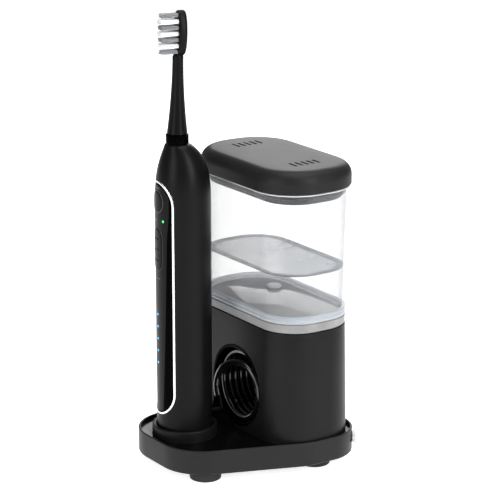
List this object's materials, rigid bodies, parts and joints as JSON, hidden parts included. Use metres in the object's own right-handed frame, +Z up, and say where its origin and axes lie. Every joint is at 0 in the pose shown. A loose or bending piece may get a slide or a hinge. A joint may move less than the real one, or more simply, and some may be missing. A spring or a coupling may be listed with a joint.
{
  "type": "sonic toothbrush with water flosser on its charging station",
  "caption": "Sonic toothbrush handle with a water hose, standing in the charging cup of a station that has a pump tower and a clear lift-off tank.",
  "frame": {"origin": "centre of the station's footprint, on the surface that it stands on", "axes": "+Z up, -Y to the front, where the handle stands, +X to the right seen from the front"},
  "size_m": [0.1112, 0.1226, 0.2907],
  "materials": {
    "station_black": "satin moulded black",
    "handle_black": "satin black",
    "lid_black": "finely textured matt black",
    "gloss_black": "polished black",
    "trim_silver": "bright satin plating",
    "tank_clear": "clear moulded plastic",
    "hose_black": "smooth glossy hose",
    "grey_rubber": "soft matt",
    "grey_plastic": "plain moulded grey",
    "inlet_grey": "light grey, slightly translucent",
    "white_nylon": "natural nylon",
    "steel": "bright steel",
    "battery_case": "cell in a shrink sleeve",
    "copper": "enamelled copper winding",
    "ferrite": "dark sintered",
    "board_green": "solder resist",
    "bristle_white": "nylon filaments",
    "lens_blue": "lit blue",
    "lens_green": "lit green",
    "lens_dark": "unlit"
  },
  "bodies": {
    "base": {"base_tray": "station_black", "bottom_cover": "station_black", "foot_front_left": "grey_rubber", "foot_front_right": "grey_rubber", "foot_rear_left": "grey_rubber", "foot_rear_right": "grey_rubber", "cover_screw_1": "steel", "cover_screw_2": "steel", "cover_screw_3": "steel", "cover_screw_4": "steel", "charging_cup": "station_black", "ferrite_core": "ferrite", "primary_coil": "copper", "charger_board": "board_green", "power_inlet": "inlet_grey", "tower_shell": "station_black", "tower_deck": "grey_plastic", "well_seal": "grey_rubber", "pump_motor": "steel", "gear_frame": "grey_plastic", "pump_body": "grey_plastic", "suction_tube": "tank_clear", "delivery_tube": "tank_clear", "hose_outlet": "gloss_black", "hose_coil": "hose_black", "hose_tail": "hose_black"},
    "pinion": {"motor_pinion": "white_nylon"},
    "cam": {"cam_gear": "white_nylon"},
    "piston": {"pump_piston": "steel"},
    "reservoir": {"reservoir_tank": "tank_clear", "valve_spring": "steel"},
    "valve": {"valve_plug": "white_nylon"},
    "lid": {"reservoir_lid": "lid_black", "lid_gasket": "grey_rubber"},
    "handle": {"handle_body": "handle_black", "handle_cap": "handle_black", "front_panel": "gloss_black", "panel_trim": "trim_silver", "level_lens_1": "lens_blue", "level_lens_2": "lens_blue", "level_lens_3": "lens_blue", "level_lens_4": "lens_blue", "level_lens_5": "lens_blue", "status_lens_1": "lens_dark", "status_lens_2": "lens_dark", "status_lens_3": "lens_green", "handle_board": "board_green", "battery": "battery_case", "sonic_motor": "steel", "shaft_seal": "grey_rubber", "receiver_coil": "copper", "hose_elbow": "gloss_black"},
    "power_button": {"power_button": "gloss_black"},
    "mode_button": {"mode_button": "gloss_black"},
    "shaft": {"drive_shaft": "steel"},
    "brush": {"brush_collar": "gloss_black", "brush_neck": "handle_black", "bristle_field": "bristle_white"}
  },
  "joints": [
    {"name": "handle_lift", "type": "slide", "parent": "base", "child": "handle", "axis": [0, 0, 1], "range_m": [0, 0.04], "deforming": ["hose_tail"]},
    {"name": "tank_lift", "type": "slide", "parent": "base", "child": "reservoir", "axis": [0, 0, 1], "range_m": [0, 0.04]},
    {"name": "lid_lift", "type": "slide", "parent": "reservoir", "child": "lid", "axis": [0, 0, 1], "range_m": [0, 0.03]},
    {"name": "valve_lift", "type": "slide", "parent": "reservoir", "child": "valve", "axis": [0, 0, 1], "range_m": [0, 0.003], "stiffness_N_per_m": 150, "deforming": ["valve_spring"]},
    {"name": "power_press", "type": "slide", "parent": "handle", "child": "power_button", "axis": [0.1736, 0.9848, 0], "range_m": [0, 0.0005], "stiffness_N_per_m": 1200},
    {"name": "mode_rock", "type": "hinge", "parent": "handle", "child": "mode_button", "pos_m": [-0.01298, -0.05106, 0.1426], "axis": [0.9848, -0.1736, 0], "range_deg": [-2, 2], "stiffness_Nm_per_rad": 0.2},
    {"name": "brush_sweep", "type": "hinge", "parent": "handle", "child": "shaft", "pos_m": [-0.01079, -0.03865, 0.2084], "axis": [0, 0, 1], "range_deg": [-5, 5], "stiffness_Nm_per_rad": 0.5},
    {"name": "brush_pull", "type": "slide", "parent": "shaft", "child": "brush", "axis": [0, 0, 1], "range_m": [0, 0.025]},
    {"name": "cam_spin", "type": "hinge", "parent": "base", "child": "cam", "pos_m": [0.021, 0.026, 0.0775], "axis": [0, 0, 1], "continuous": true},
    {"name": "pinion_spin", "type": "hinge", "parent": "base", "child": "pinion", "pos_m": [0.03712, 0.026, 0.0775], "axis": [0, 0, 1], "continuous": true},
    {"name": "piston_slide", "type": "slide", "parent": "base", "child": "piston", "axis": [-1, 0, 0], "range_m": [0, 0.005], "stiffness_N_per_m": 300}
  ],
  "couplings": [
    {"joint": "pinion_spin", "follows": "cam_spin", "ratio": -3}
  ]
}
